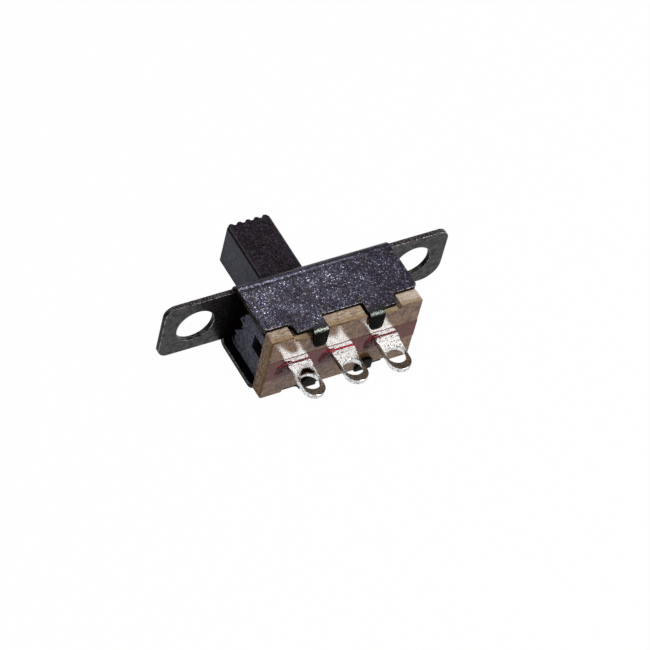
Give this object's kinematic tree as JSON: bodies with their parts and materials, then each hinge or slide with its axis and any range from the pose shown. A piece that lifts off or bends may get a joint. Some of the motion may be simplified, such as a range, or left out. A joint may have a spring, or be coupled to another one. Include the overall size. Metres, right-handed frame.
{
  "type": "slide switch",
  "caption": "Miniature two-way slide switch in a folded steel frame with mounting ears, a ridged square knob and solder lugs in a laminate board.",
  "frame": {"origin": "middle of the mounting face, half way between the two mounting holes", "axes": "X along the ears and the knob's travel, -Y out of the panel along the knob, +Y back along the solder lugs, +Z out of one side wall"},
  "size_m": [0.0196, 0.0127, 0.0054],
  "materials": {
    "black_steel": "satin black oxide with a fine blue sparkle",
    "phenolic_laminate": "varnished brown paper laminate",
    "silver_plate": "bright silver plating",
    "red_lacquer": "glossy red sealing lacquer",
    "black_plastic": "fine matt moulded black",
    "spring_bronze": "bright rolled"
  },
  "bodies": {
    "housing": {"steel_frame": "black_steel", "terminal_board": "phenolic_laminate", "terminal_left": "silver_plate", "terminal_common": "silver_plate", "terminal_right": "silver_plate", "sealing_lacquer": "red_lacquer"},
    "slider": {"actuator": "black_plastic", "contact_clip": "spring_bronze"}
  },
  "joints": [
    {"name": "knob_slide", "type": "slide", "parent": "housing", "child": "slider", "axis": [1, 0, 0], "range_m": [-0.0029, 0]}
  ]
}
